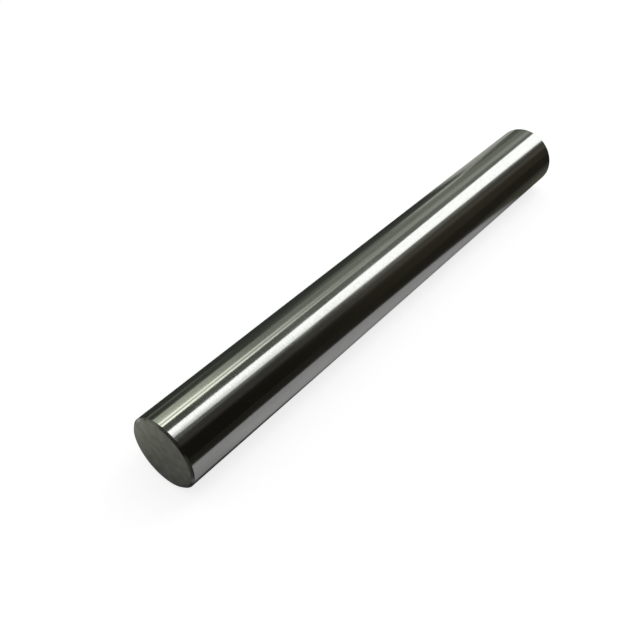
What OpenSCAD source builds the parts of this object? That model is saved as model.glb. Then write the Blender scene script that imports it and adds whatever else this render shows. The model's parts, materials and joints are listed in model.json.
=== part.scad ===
// Stainless steel round bar: one length of bright, ground stock.
// It lies along X on the plane z = 0, with the middle of its length over the origin.
// Both ends are faced square to the axis and their edges are broken by a chamfer.

/* [Bar] */
// Ground diameter of the bar, mm
bar_diameter = 35; // [12:0.5:120]
// Length of the bar over its two end faces, mm
bar_length = 300; // [60:5:1200]

/* [End chamfers] */
// Length of each chamfer measured along the bar, mm
chamfer_length = 1; // [0.2:0.1:2.5]
// Slope of each chamfer against the bar's axis, degrees
chamfer_angle = 45; // [30:1:60]

/* [Hidden] */

// Sides of the round surfaces in the preview
$fn = 180;
// Colour of bright stainless steel
steel_grey = [0.63, 0.63, 0.61];

bar_radius = bar_diameter / 2;
chamfer_depth = chamfer_length * tan(chamfer_angle);
end_face_radius = bar_radius - chamfer_depth;

// Half of the bar's lengthwise section: X runs out from the axis, Y runs along it
module half_section() {
    polygon([
        [0, 0],
        [end_face_radius, 0],
        [bar_radius, chamfer_length],
        [bar_radius, bar_length - chamfer_length],
        [end_face_radius, bar_length],
        [0, bar_length]
    ]);
}

// The whole bar, turned from its half section and laid down on its side
module round_bar() {
    color(steel_grey)
        translate([-bar_length / 2, 0, bar_radius])
            rotate([0, 90, 0])
                rotate_extrude()
                    half_section();
}

round_bar();
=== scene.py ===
"""Ground stainless steel round bar: its mesh, finishes, studio and camera.

The bar is one turned piece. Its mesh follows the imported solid's section, adds the small radius that
deburring leaves on every edge and the relief that the saw leaves on the end faces, and carries node
materials that read the bar's own coordinates. The studio has a white floor. A dark tent with lighter
panels, a table sheet and a softbox stand round the bar for the steel to mirror.
"""
import json
import logging
import math
from dataclasses import dataclass
from enum import Enum
from typing import Any, Sequence

import bpy
import numpy as np
from mathutils import Matrix, Vector


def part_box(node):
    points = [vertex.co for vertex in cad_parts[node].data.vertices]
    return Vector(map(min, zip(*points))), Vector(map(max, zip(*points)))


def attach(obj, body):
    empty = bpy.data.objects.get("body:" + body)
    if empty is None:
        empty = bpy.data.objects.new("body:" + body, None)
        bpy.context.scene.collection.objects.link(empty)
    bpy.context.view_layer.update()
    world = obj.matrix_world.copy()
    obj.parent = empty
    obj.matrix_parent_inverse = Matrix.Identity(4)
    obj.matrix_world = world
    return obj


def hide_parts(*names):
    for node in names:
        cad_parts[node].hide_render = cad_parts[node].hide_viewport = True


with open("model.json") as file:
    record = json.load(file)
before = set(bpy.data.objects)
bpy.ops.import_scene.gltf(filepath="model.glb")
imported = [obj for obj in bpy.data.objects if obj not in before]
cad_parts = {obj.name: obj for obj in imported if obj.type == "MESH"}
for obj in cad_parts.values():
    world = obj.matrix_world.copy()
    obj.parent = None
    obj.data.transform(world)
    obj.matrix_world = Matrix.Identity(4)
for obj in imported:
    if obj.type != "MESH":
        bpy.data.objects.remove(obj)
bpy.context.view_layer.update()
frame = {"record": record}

LOG = logging.getLogger("round_bar")
MILLIMETRE = 0.001
MICROMETRE = 1.0e-6

Pair = tuple[float, float]
Outline = tuple[Pair, ...]
Point = tuple[float, float, float]
Colour = tuple[float, float, float]
Socket = bpy.types.NodeSocket


class Zone(Enum):
    """Surface zones of the bar, in the order of its material slots."""

    GROUND = 0
    CHAMFER = 1
    END_FACE = 2


class BarEnd(Enum):
    """The two ends of the bar, by the sign of their X."""

    NEAR = -1
    FAR = 1


class Sight(Enum):
    """What a stage object that the camera doesn't see is there for."""

    LIGHTING = "lights the scene and is mirrored"
    MIRRORED = "is mirrored only"

    def apply(self, item: bpy.types.Object) -> None:
        """Sets the object's ray visibility.

        Args:
            item: Stage object to set.
        """
        lighting = self is Sight.LIGHTING
        item.visible_camera = False
        item.visible_diffuse = lighting
        item.visible_transmission = lighting
        item.visible_volume_scatter = lighting
        item.visible_shadow = lighting


class Tint(Enum):
    """Colours of the light that the tent's lining gives, as linear shares."""

    WHITE = (1.0, 1.0, 1.0)
    NEUTRAL = (0.97, 1.0, 0.90)
    OLIVE = (0.97, 1.0, 0.84)
    GREEN = (0.92, 1.0, 0.84)
    LEAF = (0.90, 1.0, 0.79)
    MOSS = (0.88, 1.0, 0.82)
    WARM = (1.0, 0.96, 0.82)
    BROWN = (1.0, 0.88, 0.62)


@dataclass(frozen=True)
class Grain:
    """Noise that gives a finish its grain.

    Its density is in features per metre, either one for all directions or one for each axis. The
    detail is its number of finer octaves, and the seed makes two grains differ.
    """

    density: float | Point
    detail: float
    seed: float = 0.0


class NodeDesk:
    """Lays nodes in one tree and joins their sockets.

    A Mix node has sockets for every kind of value, and its colours are found by number.
    """

    MIX_FIRST = 6
    MIX_SECOND = 7
    MIX_RESULT = 2

    def __init__(self, tree: bpy.types.NodeTree) -> None:
        """Clears the tree and keeps it.

        Args:
            tree: Node tree of a material or a world.
        """
        tree.nodes.clear()
        self.tree = tree

    def feed(self, socket: Socket, value: Any) -> None:
        """Links a socket to another one, or sets its value.

        Args:
            socket: Input socket to fill.
            value: An output socket, a number or a tuple.
        """
        if isinstance(value, bpy.types.NodeSocket):
            self.tree.links.new(value, socket)
        else:
            socket.default_value = value

    def add(self, kind: str, feeds: dict[Any, Any] | None = None, **settings: Any) -> bpy.types.Node:
        """Adds one node.

        Args:
            kind: Blender's type name of the node.
            feeds: Input sockets by name or number, with what goes into them.
            **settings: Properties of the node itself.

        Returns:
            The new node.
        """
        node = self.tree.nodes.new(kind)
        for name, value in settings.items():
            setattr(node, name, value)
        for key, value in (feeds or {}).items():
            self.feed(node.inputs[key], value)
        return node

    def math(self, operation: str, *values: Any, clamp: bool = False) -> Socket:
        """Adds a Math node.

        Args:
            operation: Blender's name of the operation.
            *values: Numbers or sockets, in order.
            clamp: Whether the result stays between 0 and 1.

        Returns:
            The node's result.
        """
        feeds = dict(enumerate(values))
        return self.add("ShaderNodeMath", feeds, operation=operation, use_clamp=clamp).outputs[0]

    def vector(self, operation: str, feeds: dict[int, Any], label: str = "") -> bpy.types.Node:
        """Adds a Vector Math node.

        Args:
            operation: Blender's name of the operation.
            feeds: Input sockets by number, with what goes into them.
            label: What the node shows in the editor.

        Returns:
            The new node.
        """
        return self.add("ShaderNodeVectorMath", feeds, operation=operation, label=label)

    def stretch(self, place: Socket, factors: Point) -> Socket:
        """Multiplies a vector axis by axis.

        Args:
            place: Coordinates to stretch.
            factors: One factor for each axis.

        Returns:
            The stretched coordinates.
        """
        return self.vector("MULTIPLY", {0: place, 1: factors}).outputs[0]

    def noise(self, place: Socket, grain: Grain) -> Socket:
        """Adds a Noise Texture.

        Args:
            place: Coordinates that it reads.
            grain: Its density, detail and seed.

        Returns:
            The noise, about 0.3 to 0.7 over most of the surface.
        """
        scale = grain.density
        if isinstance(scale, tuple):
            place, scale = self.stretch(place, scale), 1.0
        return self.add(
            "ShaderNodeTexNoise",
            {"Vector": place, "W": grain.seed, "Scale": scale, "Detail": grain.detail},
            noise_dimensions="4D",
        ).outputs["Fac"]

    def ramp(self, value: Socket, spread: Pair, results: Pair = (0.0, 1.0)) -> Socket:
        """Maps a range smoothly to another one and holds it beyond both ends.

        Args:
            value: What is mapped.
            spread: Inputs at which the mapping starts and ends.
            results: What it gives at those two inputs.

        Returns:
            The mapped value.
        """
        feeds = {"Value": value, "From Min": spread[0], "From Max": spread[1]}
        feeds |= {"To Min": results[0], "To Max": results[1]}
        return self.add("ShaderNodeMapRange", feeds, interpolation_type="SMOOTHSTEP").outputs["Result"]

    def blend(self, factor: Socket, first: Colour | Socket, second: Colour | Socket) -> Socket:
        """Mixes two colours.

        Args:
            factor: 0 for the first colour and 1 for the second.
            first: Linear colour, or a socket with one.
            second: Linear colour, or a socket with one.

        Returns:
            The mixed colour.
        """
        node = self.add("ShaderNodeMix", {"Factor": factor}, data_type="RGBA")
        for number, colour in ((self.MIX_FIRST, first), (self.MIX_SECOND, second)):
            self.feed(node.inputs[number], (*colour, 1.0) if isinstance(colour, tuple) else colour)
        return node.outputs[self.MIX_RESULT]

    def bump(self, height: Socket, distance: float, under: Socket | None = None) -> Socket:
        """Raises a surface by a noise.

        Args:
            height: The noise.
            distance: How high its full range is, in metres.
            under: Normal of the bump that this one lies on.

        Returns:
            The normal of the raised surface.
        """
        feeds = {"Strength": 1.0, "Distance": distance, "Height": height}
        if under is not None:
            feeds["Normal"] = under
        return self.add("ShaderNodeBump", feeds).outputs["Normal"]

    def own_coordinates(self) -> Socket:
        """Returns the object's own coordinates, in metres."""
        return self.add("ShaderNodeTexCoord").outputs["Object"]

    def reach(self, place: Socket, axis_height: float) -> Socket:
        """Works out the distance from an axis that runs along X.

        Args:
            place: Coordinates of the point.
            axis_height: Z of the axis.

        Returns:
            The distance.
        """
        spoke = self.vector("SUBTRACT", {0: place, 1: (0.0, 0.0, axis_height)}).outputs[0]
        flat = self.stretch(spoke, (0.0, 1.0, 1.0))
        return self.vector("LENGTH", {0: flat}).outputs["Value"]

    def seen_rays(self) -> Socket:
        """Sorts the rays that show something from those that only light it.

        Returns:
            1 for rays that show what is seen, mirrored or seen through, and 0 for the rest.
        """
        path = self.add("ShaderNodeLightPath").outputs
        seen = self.math("ADD", path["Is Camera Ray"], path["Is Glossy Ray"])
        return self.math("ADD", seen, path["Is Transmission Ray"], clamp=True)

    def metal(
        self, colour: Socket, roughness: Socket, normal: Socket, more: dict[str, Any] | None = None
    ) -> None:
        """Covers the surface with bare metal.

        Args:
            colour: Colour of the metal.
            roughness: Its roughness.
            normal: Its normal, with all bumps.
            more: Further sockets of the shader by name, with what goes into them.
        """
        feeds = {"Base Color": colour, "Metallic": 1.0, "Roughness": roughness, "Normal": normal}
        shader = self.add("ShaderNodeBsdfPrincipled", feeds | (more or {}))
        self.surface(shader.outputs["BSDF"])

    def surface(self, shader: Socket) -> None:
        """Joins a shader to the tree's surface output.

        Args:
            shader: Shader of the whole surface, or of the world.
        """
        of_world = isinstance(self.tree.id_data, bpy.types.World)
        kind = "ShaderNodeOutputWorld" if of_world else "ShaderNodeOutputMaterial"
        self.add(kind, {"Surface": shader})


def new_material(name: str) -> tuple[bpy.types.Material, NodeDesk]:
    """Makes an empty node material.

    Args:
        name: Name of the material.

    Returns:
        The material and a desk on its node tree.
    """
    material = bpy.data.materials.new(name)
    material.use_nodes = True
    return material, NodeDesk(material.node_tree)


def new_mesh_object(
    name: str, points: Any, faces: Sequence[Sequence[int]], materials: Sequence[bpy.types.Material]
) -> bpy.types.Object:
    """Makes a mesh object and links it to the scene.

    Args:
        name: Name of the object and its mesh.
        points: Vertex places, in metres.
        faces: Vertex numbers of each face.
        materials: Material slots, in order.

    Returns:
        The object, at the origin.
    """
    mesh = bpy.data.meshes.new(name)
    mesh.from_pydata([tuple(p) for p in points], [], [tuple(f) for f in faces])
    for material in materials:
        mesh.materials.append(material)
    mesh.update()
    item = bpy.data.objects.new(name, mesh)
    bpy.context.scene.collection.objects.link(item)
    return item


@dataclass(frozen=True)
class GroundFinish:
    """Bright ground and polished round surface of the bar.

    Grinding lines run round it and drawing lines along it, and scuffs and clouds lie over both. In
    this and the next finishes, a spread gives the values of a noise between which it takes effect,
    and a change is what it adds to the roughness at those values.
    """

    steel: Colour = (0.57, 0.575, 0.555)
    worn_steel: Colour = (0.69, 0.69, 0.675)
    grind: Grain = Grain((5200.0, 60.0, 60.0), 3.0)
    draw: Grain = Grain((5.0, 1500.0, 1500.0), 2.0, 3.0)
    cloud: Grain = Grain(45.0, 3.0, 7.0)
    scuff: Grain = Grain((2000.0, 800.0, 800.0), 2.0, 11.0)
    scuff_share: float = 0.6
    broad_share: float = 0.2
    wear_spread: Pair = (0.33, 0.67)
    roughness: float = 0.11
    grind_spread: Pair = (0.3, 0.75)
    grind_change: Pair = (-0.02, 0.03)
    cloud_spread: Pair = (0.42, 0.68)
    cloud_change: Pair = (0.0, 0.04)
    grind_height: float = 0.6 * MICROMETRE
    draw_height: float = 2.0 * MICROMETRE
    anisotropy: float = 0.35
    anisotropic_turn: float = 0.25

    def make(self) -> bpy.types.Material:
        """Builds the material.

        Returns:
            The finish as a node material.
        """
        material, desk = new_material("ground_steel")
        place = desk.own_coordinates()
        grind = desk.noise(place, self.grind)
        draw = desk.noise(place, self.draw)
        cloud = desk.noise(place, self.cloud)
        broad = desk.math("MULTIPLY", desk.math("ADD", draw, cloud), self.broad_share)
        tone = desk.math("MULTIPLY_ADD", desk.noise(place, self.scuff), self.scuff_share, broad)
        lines = desk.ramp(grind, self.grind_spread, self.grind_change)
        haze = desk.ramp(cloud, self.cloud_spread, self.cloud_change)
        tangent = desk.add("ShaderNodeTangent", direction_type="RADIAL", axis="X")
        desk.metal(
            desk.blend(desk.ramp(tone, self.wear_spread), self.steel, self.worn_steel),
            desk.math("ADD", desk.math("ADD", lines, haze), self.roughness),
            desk.bump(grind, self.grind_height, desk.bump(draw, self.draw_height)),
            {
                "Anisotropic": self.anisotropy,
                "Anisotropic Rotation": self.anisotropic_turn,
                "Tangent": tangent.outputs["Tangent"],
            },
        )
        return material


@dataclass(frozen=True)
class TurnedFinish:
    """Chamfers, cut by a turning tool and a little darker along their outer edge."""

    steel: Colour = (0.52, 0.52, 0.50)
    edge: Colour = (0.38, 0.38, 0.36)
    edge_start: float = 0.50 * MILLIMETRE
    edge_full: float = 0.28 * MILLIMETRE
    feed: Grain = Grain((9000.0, 90.0, 90.0), 2.0)
    roughness: float = 0.17
    feed_spread: Pair = (0.3, 0.7)
    feed_change: Pair = (-0.05, 0.08)
    feed_height: float = 3.0 * MICROMETRE

    def make(self, bar_radius: float) -> bpy.types.Material:
        """Builds the material.

        Args:
            bar_radius: Radius of the bar, which is also the height of its axis over the floor.

        Returns:
            The finish as a node material.
        """
        material, desk = new_material("turned_steel")
        place = desk.own_coordinates()
        feed = desk.noise(place, self.feed)
        dark = (bar_radius - self.edge_start, bar_radius - self.edge_full)
        desk.metal(
            desk.blend(desk.ramp(desk.reach(place, bar_radius), dark), self.steel, self.edge),
            desk.math("ADD", desk.ramp(feed, self.feed_spread, self.feed_change), self.roughness),
            desk.bump(feed, self.feed_height),
        )
        return material


@dataclass(frozen=True)
class SawnFinish:
    """Matte mottled end faces, sawn and lightly dressed."""

    steel: Colour = (0.585, 0.587, 0.562)
    stain: Colour = (0.437, 0.439, 0.414)
    dark_rim: Colour = (0.40, 0.40, 0.37)
    dark_rim_width: float = 0.25 * MILLIMETRE
    mottle: Grain = Grain(260.0, 4.0)
    mottle_share: float = 0.6
    tooth: Grain = Grain(3200.0, 3.0, 5.0)
    tooth_share: float = 0.4
    stain_spread: Pair = (0.38, 0.62)
    roughness: float = 0.48
    tooth_spread: Pair = (0.3, 0.7)
    tooth_change: Pair = (-0.06, 0.1)
    tooth_height: float = 14.0 * MICROMETRE

    def make(self, bar_radius: float, face_radius: float) -> bpy.types.Material:
        """Builds the material.

        Args:
            bar_radius: Height of the bar's axis over the floor.
            face_radius: Radius of the end faces, along whose rim they turn slightly darker.

        Returns:
            The finish as a node material.
        """
        material, desk = new_material("sawn_steel")
        place = desk.own_coordinates()
        mottle = desk.noise(place, self.mottle)
        tooth = desk.noise(place, self.tooth)
        blotch = desk.math("MULTIPLY", mottle, self.mottle_share)
        tone = desk.math("MULTIPLY_ADD", tooth, self.tooth_share, blotch)
        colour = desk.blend(desk.ramp(tone, self.stain_spread), self.stain, self.steel)
        # The faces turn slightly darker in a ragged band along their rim.
        ragged = desk.math("MULTIPLY_ADD", mottle, self.dark_rim_width, desk.reach(place, bar_radius))
        rim = (face_radius - self.dark_rim_width, face_radius + self.dark_rim_width / 2)
        desk.metal(
            desk.blend(desk.ramp(ragged, rim), colour, self.dark_rim),
            desk.math("ADD", desk.ramp(tooth, self.tooth_spread, self.tooth_change), self.roughness),
            desk.bump(tooth, self.tooth_height),
        )
        return material


@dataclass(frozen=True)
class SawMarks:
    """Bowed ridges that the saw leaves on an end face.

    A wave at the pitch, which wanders, and a finer wave make the ridges. A long swell, a number of
    pitches wide and skewed across them, makes some deeper than others. They run out at the rim.
    """

    pitch: float = 1.3 * MILLIMETRE
    depth: float = 0.008 * MILLIMETRE
    near_lean_deg: float = 24.0
    far_lean_deg: float = -38.0
    bow: float = 2.2
    wave: float = 0.28
    wander: float = 0.7
    wander_rate: float = 0.137
    fine_wave: float = 0.22
    fine_rate: float = 2.31
    fine_start: float = 1.3
    swell: float = 0.3
    swell_pitches: float = 9.0
    swell_skew: float = 3.1
    run_out: float = 0.6 * MILLIMETRE

    def relief(
        self, across: np.ndarray, up: np.ndarray, end: BarEnd, bar_radius: float, face_radius: float
    ) -> np.ndarray:
        """Works out how deep the marks lie under the end plane.

        Args:
            across: Y of the points, from the bar's axis.
            up: Z of the points, from the bar's axis.
            end: Which end the face is on; the two were cut at different angles.
            bar_radius: Radius of the bar.
            face_radius: Radius of the face, where the marks have run out.

        Returns:
            Depth of each point, zero at the rim.
        """
        lean = math.radians(self.near_lean_deg if end is BarEnd.NEAR else self.far_lean_deg)
        along = across * math.cos(lean) + up * math.sin(lean)
        over = up * math.cos(lean) - across * math.sin(lean)
        phase = 2 * np.pi * (over + along**2 * self.bow) / self.pitch
        coarse = self.wave * np.sin(phase + self.wander * np.sin(phase * self.wander_rate))
        fine = self.fine_wave * np.sin(phase * self.fine_rate + self.fine_start)
        ridge = 1.0 - self.wave - self.fine_wave + coarse + fine
        roll = 2 * np.pi * over / (self.swell_pitches * self.pitch)
        swell = 1.0 - self.swell + self.swell * np.sin(roll + self.swell_skew * along / bar_radius)
        fade = np.clip((face_radius - np.hypot(across, up)) / self.run_out, 0.0, 1.0)
        return self.depth * ridge * swell * fade


@dataclass(frozen=True)
class RoundBar:
    """The bar: its section, its mesh and what covers it.

    The slope shares place the rings on each chamfer between its two rounded edges. The face rings
    fill each end face, from a share of its radius out to its rim.
    """

    diameter: float
    length: float
    chamfer: float
    edge_radius: float = 0.12 * MILLIMETRE
    edge_chords: int = 4
    slope_shares: tuple[float, ...] = (0.08, 0.36, 0.64, 0.92)
    sides: int = 320
    face_rings: int = 96
    first_ring_share: float = 0.012
    saw_marks: SawMarks = SawMarks()

    @classmethod
    def from_frame(cls, node: str, mount: str) -> "RoundBar":
        """Reads the bar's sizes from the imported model.

        Args:
            node: Name of the bar's node.
            mount: Name of the mount on the ground surface.

        Returns:
            The bar at its packed size.
        """
        low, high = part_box(node)
        length = high.x - low.x
        sizes = next(m["dims"] for m in frame["record"]["mounts"] if m["name"] == mount)
        ground_length = sizes["length_mm"] * MILLIMETRE
        return cls(2 * sizes["r_mm"] * MILLIMETRE, length, (length - ground_length) / 2)

    @property
    def radius(self) -> float:
        """Radius of the ground surface."""
        return self.diameter / 2

    @property
    def face_radius(self) -> float:
        """Radius of the flat end faces, inside their chamfers."""
        return self.radius - self.chamfer

    def rounded_corner(self, before: Pair, corner: Pair, after: Pair) -> list[Pair]:
        """Rounds one corner of the section by the edge radius.

        Args:
            before: Section point before the corner, as (depth, radius).
            corner: The corner itself.
            after: Section point after the corner.

        Returns:
            Points of the arc, from the side of before to the side of after.
        """
        at = Vector(corner)
        back = (Vector(before) - at).normalized()
        on = (Vector(after) - at).normalized()
        half = back.angle(on) / 2
        centre = at + (back + on).normalized() * (self.edge_radius / math.sin(half))
        first = at + back * (self.edge_radius / math.tan(half)) - centre
        last = at + on * (self.edge_radius / math.tan(half)) - centre
        sweep = first.angle_signed(last)
        turns = [-sweep * i / self.edge_chords for i in range(self.edge_chords + 1)]
        return [tuple(centre + Matrix.Rotation(turn, 2) @ first) for turn in turns]

    def end_section(self) -> list[tuple[float, float, Zone]]:
        """Lists the rings from an end face's rim to the ground surface.

        Returns:
            Depth behind the end plane, radius, and the zone that starts there.
        """
        inner = (0.0, self.face_radius)
        outer = (self.chamfer, self.radius)
        rim = self.rounded_corner((0.0, 0.0), inner, outer)
        shoulder = self.rounded_corner(inner, outer, (self.length / 2, self.radius))
        top, foot = Vector(rim[-1]), Vector(shoulder[0])
        slope = [tuple(top.lerp(foot, share)) for share in self.slope_shares]
        rings = [(*p, Zone.CHAMFER) for p in rim + slope + shoulder[:-1]]
        ground_start = shoulder[-1]
        support = (ground_start[0] + self.edge_radius, self.radius)
        return rings + [(*p, Zone.GROUND) for p in (ground_start, support)]

    def half_rings(self, end: BarEnd) -> tuple[np.ndarray, list[Zone]]:
        """Places every ring of one half of the bar, from the end face's middle to its ground surface.

        Args:
            end: Which half.

        Returns:
            Ring points as an array (ring, side, axis), and the zone that starts at each ring.
        """
        turn = 2 * np.pi * np.arange(self.sides) / self.sides
        first, last = self.face_radius * self.first_ring_share, self.face_radius - self.edge_radius
        face = [(0.0, r, Zone.END_FACE) for r in np.linspace(first, last, self.face_rings)]
        section = face + self.end_section()
        rings = np.empty((len(section), self.sides, 3))
        for row, (depth, radius, zone) in zip(rings, section):
            across, up = radius * np.cos(turn), radius * np.sin(turn)
            inward = depth
            if zone is Zone.END_FACE:
                inward = self.saw_marks.relief(across, up, end, self.radius, self.face_radius)
            row[:, 0] = end.value * (self.length / 2 - inward)
            row[:, 1] = across
            row[:, 2] = self.radius + up
        return rings, [zone for _, _, zone in section]

    def skin(self, ring_count: int) -> list[tuple[int, ...]]:
        """Lists the faces of the closed skin, all of them facing outwards.

        Args:
            ring_count: How many rings there are; the two middles are numbered after their points.

        Returns:
            Vertex numbers of the bands between the rings, then of the fans round the middles.
        """
        sides = self.sides
        neighbours = [(side, (side + 1) % sides) for side in range(sides)]
        near_middle = ring_count * sides
        last = near_middle - sides
        faces: list[tuple[int, ...]] = []
        for start in range(0, last, sides):
            on = start + sides
            faces += [(start + a, start + b, on + b, on + a) for a, b in neighbours]
        for a, b in neighbours:
            faces += [(b, a, near_middle), (last + a, last + b, near_middle + 1)]
        return faces

    def dress(self) -> list[bpy.types.Material]:
        """Makes the finishes of the bar's zones.

        Returns:
            One material for each zone, in their order.
        """
        sawn = SawnFinish().make(self.radius, self.face_radius)
        return [GroundFinish().make(), TurnedFinish().make(self.radius), sawn]

    def build(self) -> bpy.types.Object:
        """Makes the bar's mesh: one closed skin from the near face's middle to the far one's.

        Returns:
            The bar, with its zones in material slots.
        """
        near, zones = self.half_rings(BarEnd.NEAR)
        far, _ = self.half_rings(BarEnd.FAR)
        rings = np.concatenate([near, far[::-1]])
        middles = [ring.mean(axis=0) for ring in (rings[0], rings[-1])]
        points = np.concatenate([rings.reshape(-1, 3), middles])
        faces = self.skin(len(rings))
        bands = zones[:-1] + [Zone.GROUND] + zones[-2::-1]
        fans = [Zone.END_FACE, Zone.END_FACE]
        slots = [zone.value for zone in bands + fans for _ in range(self.sides)]
        bar = new_mesh_object("ground_bar", points, faces, self.dress())
        bar.data.polygons.foreach_set("material_index", slots)
        bar.data.polygons.foreach_set("use_smooth", [True] * len(faces))
        bar.data.update()
        return bar

    def place(self) -> bpy.types.Object:
        """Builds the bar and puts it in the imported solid's stead.

        Returns:
            The bar.
        """
        bar = self.build()
        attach(bar, "root")
        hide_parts("round_bar")
        return bar


@dataclass(frozen=True)
class Floor:
    """Pale floor: white where it is seen or mirrored, and still darkened by the bar's shadow."""

    half_width: float = 6.0
    paper: Colour = (0.56, 0.56, 0.56)
    lift: float = 0.74

    def build(self) -> bpy.types.Object:
        """Makes the floor.

        Returns:
            The floor.
        """
        material, desk = new_material("pale_floor")
        paper = desk.add("ShaderNodeBsdfDiffuse", {"Color": (*self.paper, 1.0)})
        strength = desk.math("MULTIPLY", desk.seen_rays(), self.lift)
        glow = desk.add("ShaderNodeEmission", {"Strength": strength})
        both = desk.add("ShaderNodeAddShader", {0: paper.outputs[0], 1: glow.outputs[0]})
        desk.surface(both.outputs[0])
        w = self.half_width
        corners = [(-w, -w, 0.0), (w, -w, 0.0), (w, w, 0.0), (-w, w, 0.0)]
        floor = new_mesh_object("floor", corners, [(0, 1, 2, 3)], [material])
        return floor


@dataclass(frozen=True)
class Mat:
    """Convex area of the table sheet with a tone of its own and soft edges.

    Its outline runs anticlockwise, seen from above, and soft is half the width of its edges.
    """

    name: str
    outline: Outline
    tone: Colour
    soft: float

    @classmethod
    def square(cls, name: str, x: Pair, y: Pair, tone: Colour, soft: float) -> "Mat":
        """Makes a mat that lies square to the bar.

        Args:
            name: Name of the mat.
            x: Where it starts and ends along the bar.
            y: Where it starts and ends across the bar.
            tone: Its colour.
            soft: Half the width of its edges.

        Returns:
            The mat.
        """
        return cls(name, ((x[0], y[0]), (x[1], y[0]), (x[1], y[1]), (x[0], y[1])), tone, soft)

    def cover(self, desk: NodeDesk, place: Socket) -> Socket:
        """Works out how far the mat covers the sheet.

        Args:
            desk: Desk of the sheet's tree.
            place: Coordinates on the sheet.

        Returns:
            1 inside the outline and 0 outside it.
        """
        inside = []
        for here, there in zip(self.outline, self.outline[1:] + self.outline[:1]):
            edge = (Vector(there) - Vector(here)).normalized()
            inward = Vector((-edge.y, edge.x))
            across = desk.vector("DOT_PRODUCT", {0: place, 1: (*inward, 0.0)}).outputs["Value"]
            start = inward.dot(Vector(here))
            inside.append(desk.ramp(across, (start - self.soft, start + self.soft)))
        total = inside[0]
        for share in inside[1:]:
            total = desk.math("MULTIPLY", total, share)
        total.node.label = self.name
        return total


@dataclass(frozen=True)
class TableSheet:
    """Sheet under the bar that only the steel mirrors, with mats laid on it in order."""

    ground: Colour
    mats: tuple[Mat, ...]
    outline: Outline = ((-1.7, -1.6), (2.7, -1.6), (2.7, 1.6), (-1.7, 1.6))
    height: float = 0.05 * MILLIMETRE

    def build(self) -> bpy.types.Object:
        """Lays the sheet.

        Returns:
            The sheet, seen only in reflections.
        """
        material, desk = new_material("table_sheet")
        place = desk.own_coordinates()
        tone: Colour | Socket = self.ground
        for mat in self.mats:
            tone = desk.blend(mat.cover(desk, place), tone, mat.tone)
        desk.surface(desk.add("ShaderNodeBsdfDiffuse", {"Color": tone}).outputs[0])
        points = [(x, y, self.height) for x, y in self.outline]
        sheet = new_mesh_object("table_sheet", points, [tuple(range(len(points)))], [material])
        Sight.MIRRORED.apply(sheet)
        return sheet


@dataclass(frozen=True)
class Patch:
    """Area of the tent's lining with soft edges and a light of its own.

    Its span runs along the bar in metres. Its arc runs over the bar in degrees, from the floor
    behind it at 0 to the floor in front of it at 180, and leans by some degrees for each metre
    along the span. A patch with a foot starts at that height over the floor. Each softness is half
    the width of an edge.
    """

    name: str
    span: Pair
    arc: Pair
    radiance: float
    tint: Tint
    span_soft: Pair = (0.05, 0.05)
    arc_soft: Pair = (2.0, 2.0)
    lean: float = 0.0
    foot: float | None = None
    foot_soft: float = 0.03

    @staticmethod
    def window(desk: NodeDesk, value: Socket, limits: Pair, soft: Pair) -> Socket:
        """Makes a factor that is 1 between two limits and 0 beyond them.

        Args:
            desk: Desk of the lining's tree.
            value: Coordinate that is tested.
            limits: Where the factor is one half.
            soft: Half the width of each edge.

        Returns:
            The factor.
        """
        rise = desk.ramp(value, (limits[0] - soft[0], limits[0] + soft[0]))
        fall = desk.ramp(value, (limits[1] - soft[1], limits[1] + soft[1]), (1.0, 0.0))
        return desk.math("MULTIPLY", rise, fall)

    def light(self, desk: NodeDesk, along: Socket, over: Socket, height: Socket) -> Socket:
        """Works out the patch's light.

        Args:
            desk: Desk of the lining's tree.
            along: Place along the bar.
            over: Angle over the bar.
            height: Height over the floor.

        Returns:
            Light of the patch as a colour.
        """
        if self.lean:
            shift = desk.math("MULTIPLY", desk.math("SUBTRACT", along, self.span[0]), self.lean)
            over = desk.math("SUBTRACT", over, shift)
        inside = desk.math(
            "MULTIPLY",
            self.window(desk, along, self.span, self.span_soft),
            self.window(desk, over, self.arc, self.arc_soft),
        )
        if self.foot is not None:
            above = desk.ramp(height, (self.foot - self.foot_soft, self.foot + self.foot_soft))
            inside = desk.math("MULTIPLY", inside, above)
        colour = tuple(self.radiance * share for share in self.tint.value)
        return desk.vector("SCALE", {0: colour, 3: inside}, self.name).outputs[0]


@dataclass(frozen=True)
class Tent:
    """Dark cloth arched over the bar, with lighter panels in its lining for the steel to mirror."""

    lining: tuple[Patch, ...]
    radius: float = 1.5
    start: float = -1.6
    end: float = 2.6
    sides: int = 48

    def cloth(self) -> bpy.types.Material:
        """Adds up the light of the lining's patches.

        Returns:
            The lining as a node material.
        """
        material, desk = new_material("tent_lining")
        axes = desk.add("ShaderNodeSeparateXYZ", {0: desk.own_coordinates()}).outputs
        over = desk.math("DEGREES", desk.math("ARCTAN2", axes["Z"], axes["Y"]))
        total = self.lining[0].light(desk, axes["X"], over, axes["Z"])
        for patch in self.lining[1:]:
            more = patch.light(desk, axes["X"], over, axes["Z"])
            total = desk.vector("ADD", {0: total, 1: more}).outputs[0]
        cloth = desk.add("ShaderNodeEmission", {"Color": total, "Strength": 1.0})
        desk.surface(cloth.outputs[0])
        material.cycles.emission_sampling = "NONE"
        return material

    def build(self) -> bpy.types.Object:
        """Makes the tent.

        Returns:
            The tent, seen only in reflections.
        """
        turn = [math.pi * i / self.sides for i in range(self.sides + 1)]
        arch = [(self.radius * math.cos(t), self.radius * math.sin(t)) for t in turn]
        points = [(x, y, z) for x in (self.start, self.end) for y, z in arch]
        step = len(arch)
        faces = [(i, i + 1, i + 1 + step, i + step) for i in range(self.sides)]
        faces += [tuple(range(step)), tuple(range(step, 2 * step))[::-1]]
        tent = new_mesh_object("tent", points, faces, [self.cloth()])
        Sight.MIRRORED.apply(tent)
        return tent


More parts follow.
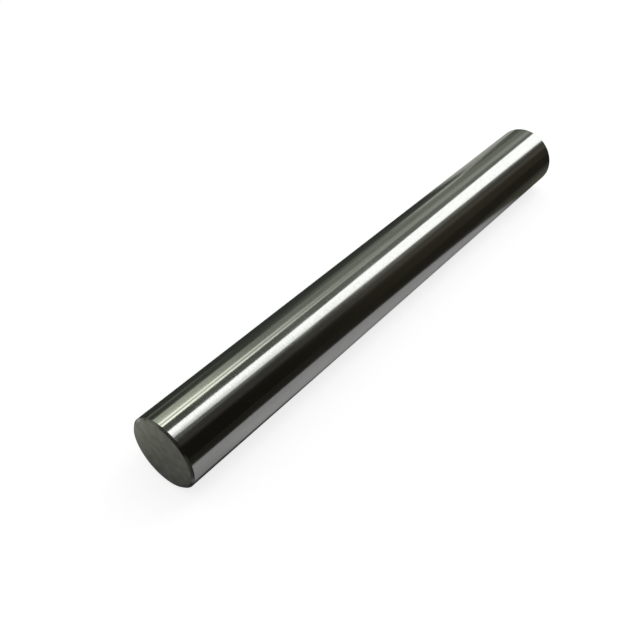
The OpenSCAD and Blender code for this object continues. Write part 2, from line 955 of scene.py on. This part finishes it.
@dataclass(frozen=True)
class Softbox:
    """Long softbox over the bar, tilted down towards its far end.

    It widens from its middle to its near end. Its near corner in front is dimmer, up to the given
    shares of the length and the width beyond its middle, and its light fades along both long edges.
    """

    centre: Point = (0.634, -0.216, 0.953)
    run: Point = (0.643, 0.149, -0.752)
    length: float = 1.367
    width: float = 0.518
    flare_start: float = -0.05
    flare: float = 0.22
    low_fade: float = 0.105
    top_fade: float = 0.03
    radiance: float = 1.58
    tint: Colour = (0.984, 1.0, 0.980)
    corner_dimming: float = 0.94
    corner_length_share: float = 0.19
    corner_width_share: float = 0.30

    def silk(self) -> bpy.types.Material:
        """Makes the lit front of the softbox.

        Returns:
            The silk as a node material.
        """
        material, desk = new_material("softbox_silk")
        axes = desk.add("ShaderNodeSeparateXYZ", {0: desk.own_coordinates()}).outputs
        end, edge = self.length / 2, self.width / 2
        near = desk.ramp(axes["X"], (-end, self.length * self.corner_length_share), (1.0, 0.0))
        low = desk.ramp(axes["Y"], (-edge, self.width * self.corner_width_share), (1.0, 0.0))
        dimming = desk.math("MULTIPLY", desk.math("MULTIPLY", near, low), self.corner_dimming)
        rise = desk.ramp(axes["Y"], (-edge, self.low_fade - edge))
        before = desk.math("MAXIMUM", desk.math("SUBTRACT", self.flare_start, axes["X"]), 0.0)
        level = desk.math("MULTIPLY_ADD", before, -self.flare, axes["Y"])
        fall = desk.ramp(level, (edge - self.top_fade, edge), (1.0, 0.0))
        bright = desk.math("SUBTRACT", 1.0, dimming)
        share = desk.math("MULTIPLY", bright, desk.math("MULTIPLY", rise, fall))
        strength = desk.math("MULTIPLY", share, self.radiance)
        light = desk.add("ShaderNodeEmission", {"Color": (*self.tint, 1.0), "Strength": strength})
        desk.surface(light.outputs[0])
        return material

    def build(self) -> bpy.types.Object:
        """Hangs the softbox.

        Returns:
            The softbox, hidden from the camera.
        """
        x, y = self.length / 2, self.width / 2
        widest = y + self.flare * (x + self.flare_start)
        outline = [(-x, -y), (x, -y), (x, y), (self.flare_start, y), (-x, widest)]
        corners = [(along, across, 0.0) for along, across in outline]
        box = new_mesh_object("softbox", corners, [(4, 3, 2, 1, 0)], [self.silk()])
        run = Vector(self.run).normalized()
        side = (Vector((0.0, 1.0, 0.0)) - run * run.y).normalized()
        turn = Matrix((run, side, run.cross(side))).transposed()
        box.matrix_world = Matrix.Translation(self.centre) @ turn.to_4x4()
        Sight.LIGHTING.apply(box)
        return box


@dataclass(frozen=True)
class Studio:
    """Everything round the bar that isn't the bar."""

    fill: float = 0.45
    table: Colour = (0.034, 0.031, 0.023)

    @staticmethod
    def lining() -> tuple[Patch, ...]:
        """Lists the tent's lining.

        Returns:
            Its patches, from the floor behind the bar over to the floor in front of it.
        """
        whole = (-1.7, 2.7)
        beside = (-1.0, 2.7)
        beyond = (1.825, 2.7)
        at_end = (-1.7, -1.5)
        return (
            Patch("back cloth", whole, (-9.0, 30.0), 0.055, Tint.GREEN, arc_soft=(2.0, 3.0)),
            Patch("low rail", (-1.0, 0.62), (5.0, 12.5), 0.085, Tint.GREEN, (0.2, 0.15)),
            Patch("ledge glow", (1.0, 1.815), (16.0, 33.0), 0.09, Tint.NEUTRAL, (0.3, 0.015), (5.0, 3.0)),
            Patch("ledge", (1.52, 1.815), (19.5, 27.0), 0.43, Tint.NEUTRAL, (0.2, 0.015), (1.2, 1.5)),
            Patch(
                "far window", beyond, (-60.0, 22.0), 0.31, Tint.NEUTRAL, (0.015, 0.05), (2.0, 6.0), -75.0
            ),
            Patch("far sill", beyond, (8.0, 33.0), 0.06, Tint.NEUTRAL, (0.015, 0.05), (4.0, 3.0)),
            Patch("near wall", (-1.7, -1.0), (30.0, 150.0), 0.025, Tint.GREEN, (0.05, 0.2)),
            Patch("near corner", (-1.7, -0.7), (-9.0, 40.0), 0.16, Tint.OLIVE, (0.05, 0.15), (2.0, 6.0)),
            Patch("back panel", beside, (30.3, 69.2), 0.20, Tint.GREEN, (0.2, 0.05), (4.0, 0.5)),
            Patch("panel middle", beside, (51.5, 67.5), 0.13, Tint.NEUTRAL, (0.2, 0.05), (3.0, 2.0)),
            Patch("near panel", (-1.0, 0.68), (31.8, 68.2), 0.30, Tint.LEAF, (0.2, 0.2), (3.0, 0.4)),
            Patch("lower tube", (-1.0, 0.80), (53.7, 58.3), 0.97, Tint.NEUTRAL, (0.2, 0.35), (1.0, 1.0)),
            Patch("tube glow", (-1.0, 0.53), (46.0, 56.0), 0.16, Tint.WARM, (0.2, 0.08), (3.0, 2.0)),
            Patch("upper tube", (-1.0, 0.80), (63.3, 68.2), 0.97, Tint.NEUTRAL, (0.2, 0.35), (1.5, 0.4)),
            Patch("tube tail", (-1.0, 1.10), (64.6, 68.4), 0.28, Tint.GREEN, (0.2, 0.55), (1.0, 0.4)),
            Patch("roof", beside, (69.8, 120.0), 0.09, Tint.MOSS, (0.2, 0.05), (0.5, 3.0)),
            Patch("far roof", (0.9, 2.7), (69.8, 120.0), 0.08, Tint.NEUTRAL, (0.4, 0.05), (0.5, 3.0)),
            Patch("near window", (-1.45, 0.36), (88.5, 112.0), 1.35, Tint.WHITE, (0.1, 0.04), (0.8, 2.0)),
            Patch("end window", at_end, (80.0, 112.0), 1.25, Tint.WHITE, foot=1.05),
            Patch("end panel", at_end, (36.0, 68.0), 0.30, Tint.GREEN, arc_soft=(3.0, 1.0), foot=0.95),
            Patch(
                "front spill", (-0.4, 2.7), (96.0, 131.3), 0.042, Tint.WARM, arc_soft=(3.0, 6.0), lean=8.0
            ),
            Patch("stripe haze", (1.15, 2.7), (116.0, 129.0), 0.115, Tint.WARM, (0.4, 0.05), (4.0, 7.0)),
            Patch("far haze", (0.9, 2.7), (120.0, 150.0), 0.011, Tint.WARM, (0.4, 0.05), (4.0, 14.0)),
            Patch("front cloth", whole, (136.0, 189.0), 0.010, Tint.BROWN, arc_soft=(6.0, 2.0)),
            Patch(
                "far front cloth", (1.2, 2.7), (142.0, 189.0), 0.024, Tint.BROWN, (0.6, 0.05), (8.0, 2.0)
            ),
        )

    @staticmethod
    def mats() -> tuple[Mat, ...]:
        """Lists the mats on the table sheet.

        Returns:
            The mats, from the lowest to the uppermost.
        """
        card = ((0.08, 0.02), (1.6, 0.02), (1.6, 1.33))
        haze = ((-0.153, -0.083), (-0.05, -0.074), (0.115, -0.037), (0.15, 0.03), (-0.153, 0.03))
        strip = (
            (-0.153, -0.0706),
            (-0.08, -0.0662),
            (0.033, -0.0463),
            (0.101, -0.0293),
            (0.125, -0.020),
            (0.138, -0.004),
            (0.141, 0.03),
            (-0.153, 0.03),
        )
        foot_glow = ((-0.12, -0.036), (0.10, -0.022), (0.12, 0.03), (-0.12, 0.03))
        contact_shadow = (
            (-0.16, -0.0178),
            (-0.09, -0.0166),
            (-0.03, -0.0125),
            (0.06, -0.004),
            (-0.16, -0.004),
        )
        before_end = (-0.70, -0.151)
        return (
            Mat.square("back table", (-1.7, 2.7), (0.0, 1.6), (0.072, 0.079, 0.066), 0.005),
            Mat("far card", card, (0.70, 0.71, 0.65), 0.016),
            Mat("strip haze", haze, (0.076, 0.074, 0.068), 0.016),
            Mat.square("far shade", (0.10, 0.30), (-0.03, 0.01), (0.19, 0.19, 0.15), 0.022),
            Mat.square("near card", before_end, (-0.20, 0.40), (0.46, 0.463, 0.42), 0.004),
            Mat.square("near light", (-0.26, -0.151), (0.036, 0.10), (0.995, 1.0, 0.92), 0.010),
            Mat.square("near half", before_end, (-0.20, 0.026), (0.34, 0.342, 0.288), 0.008),
            Mat.square("near front", before_end, (-0.20, -0.016), (0.10, 0.10, 0.093), 0.007),
            # Painted light on the sheet at the near face's foot, where the bar's shadow falls.
            Mat.square("near foot", (-0.160, -0.151), (-0.010, 0.012), (0.70, 0.703, 0.61), 0.004),
            Mat("strip", strip, (0.64, 0.64, 0.65), 0.008),
            Mat("foot glow", foot_glow, (0.88, 0.88, 0.89), 0.016),
            Mat.square("foot shade", (-0.16, 0.13), (-0.014, 0.0), (0.46, 0.46, 0.46), 0.003),
            # Painted contact shadow: a dark wedge on the sheet along the bar's foot.
            Mat("contact_shadow", contact_shadow, (0.10, 0.10, 0.10), 0.0022),
            # Painted shade on the sheet under the bar, behind its foot.
            Mat.square("back foot", (-0.16, 0.16), (-0.004, 0.0165), (0.25, 0.25, 0.25), 0.003),
        )

    def world(self) -> None:
        """Sets a white surround, with a plain fill for the floor."""
        world = bpy.data.worlds.new("surround")
        bpy.context.scene.world = world
        world.use_nodes = True
        desk = NodeDesk(world.node_tree)
        strength = desk.math("MULTIPLY_ADD", desk.seen_rays(), 1.0 - self.fill, self.fill)
        light = desk.add("ShaderNodeBackground", {"Color": (1.0, 1.0, 1.0, 1.0), "Strength": strength})
        desk.surface(light.outputs[0])

    def build(self) -> list[bpy.types.Object]:
        """Sets up the studio.

        Returns:
            Every stage object.
        """
        self.world()
        sheet = TableSheet(self.table, self.mats())
        parts = (Floor(), sheet, Tent(self.lining()), Softbox())
        return [part.build() for part in parts]


@dataclass(frozen=True)
class PhotoCamera:
    """Camera over the bar's near end, looking along it towards the far end."""

    place: Point = (-0.2729, -0.1809, 0.2759)
    heading_deg: float = 38.96
    dip_deg: float = 41.64
    lens_mm: float = 46.0
    sensor_mm: float = 36.0
    nearest: float = 0.01

    def build(self) -> bpy.types.Object:
        """Places the camera and makes it the scene's own.

        Returns:
            The camera.
        """
        data = bpy.data.cameras.new("photo_camera")
        data.lens = self.lens_mm
        data.sensor_width = self.sensor_mm
        data.clip_start = self.nearest
        camera = bpy.data.objects.new("photo_camera", data)
        bpy.context.scene.collection.objects.link(camera)
        heading, dip = math.radians(self.heading_deg), math.radians(self.dip_deg)
        ahead = math.cos(dip)
        look = Vector((ahead * math.cos(heading), ahead * math.sin(heading), -math.sin(dip)))
        camera.rotation_mode = "QUATERNION"
        camera.rotation_quaternion = look.to_track_quat("-Z", "Y")
        camera.location = self.place
        bpy.context.scene.camera = camera
        return camera


def main() -> None:
    """Builds the camera, the bar and the studio."""
    logging.basicConfig(level=logging.INFO, format="%(name)s: %(message)s")
    bpy.context.scene.view_settings.view_transform = "Standard"
    PhotoCamera().build()
    bar = RoundBar.from_frame("round_bar", "ground_surface").place()
    LOG.info("%s: %d faces", bar.name, len(bar.data.polygons))
    for item in Studio().build():
        LOG.info("%s set up", item.name)


if __name__ == "__main__":
    main()
